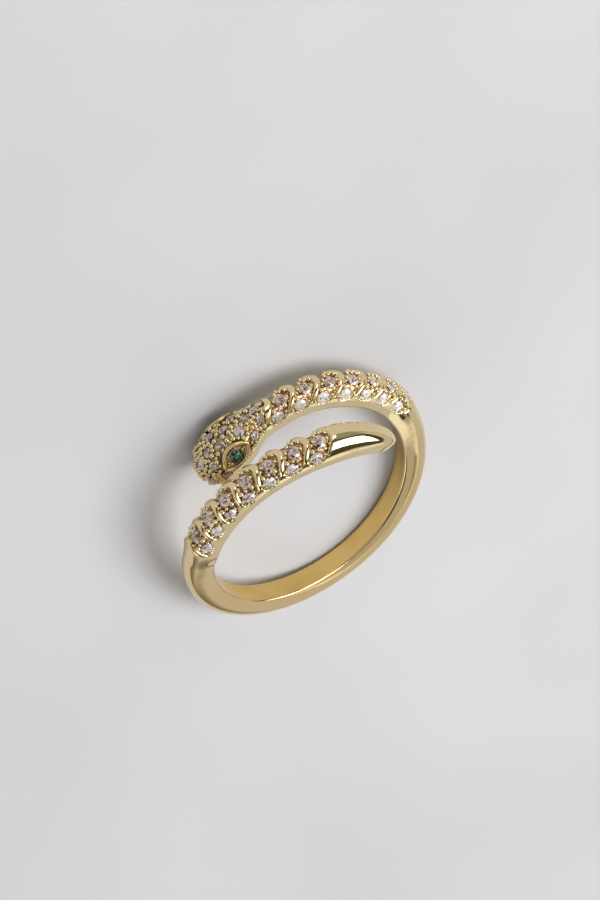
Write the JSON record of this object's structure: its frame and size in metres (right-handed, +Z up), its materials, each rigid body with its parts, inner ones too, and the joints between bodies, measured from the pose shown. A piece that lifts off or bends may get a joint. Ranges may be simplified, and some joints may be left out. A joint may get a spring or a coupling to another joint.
{
  "type": "snake ring",
  "caption": "Open bypass finger ring shaped as a snake, gold-coloured, with a stone-set head and neck beside a stone-set, pointed tail.",
  "frame": {"origin": "on the surface that the ring lies on, below the middle of the finger hole", "axes": "+Z up from that surface; the finger hole's axis leans 9.87 degrees from it, since the ring lies on its side on the head's cheek, the neck arm and the shank; the head and tail lie side by side towards +Y"},
  "size_m": [0.0214, 0.0212, 0.0081],
  "materials": {
    "gold": "polished pale gold plate",
    "pale_stone": "cut and polished, faintly pink",
    "green_stone": "cut and polished, deep green"
  },
  "bodies": {
    "root": {"ring_body": "gold", "head_stones": "pale_stone", "eye_stone_near": "green_stone", "eye_stone_far": "green_stone", "tail_stone_1_crown": "pale_stone", "tail_stone_1_flank": "pale_stone", "tail_stone_2_crown": "pale_stone", "tail_stone_2_flank": "pale_stone", "tail_stone_3_crown": "pale_stone", "tail_stone_3_flank": "pale_stone", "tail_stone_4_crown": "pale_stone", "tail_stone_4_flank": "pale_stone", "tail_stone_5_crown": "pale_stone", "tail_stone_5_flank": "pale_stone", "tail_stone_6_crown": "pale_stone", "tail_stone_6_flank": "pale_stone", "tail_stone_7_crown": "pale_stone", "tail_stone_7_flank": "pale_stone", "neck_stone_1_crown": "pale_stone", "neck_stone_1_flank": "pale_stone", "neck_stone_2_crown": "pale_stone", "neck_stone_2_flank": "pale_stone", "neck_stone_3_crown": "pale_stone", "neck_stone_3_flank": "pale_stone", "neck_stone_4_crown": "pale_stone", "neck_stone_4_flank": "pale_stone", "neck_stone_5_crown": "pale_stone", "neck_stone_5_flank": "pale_stone", "neck_stone_6_crown": "pale_stone", "neck_stone_6_flank": "pale_stone", "neck_stone_7_crown": "pale_stone", "neck_stone_7_flank": "pale_stone"}
  },
  "joints": []
}
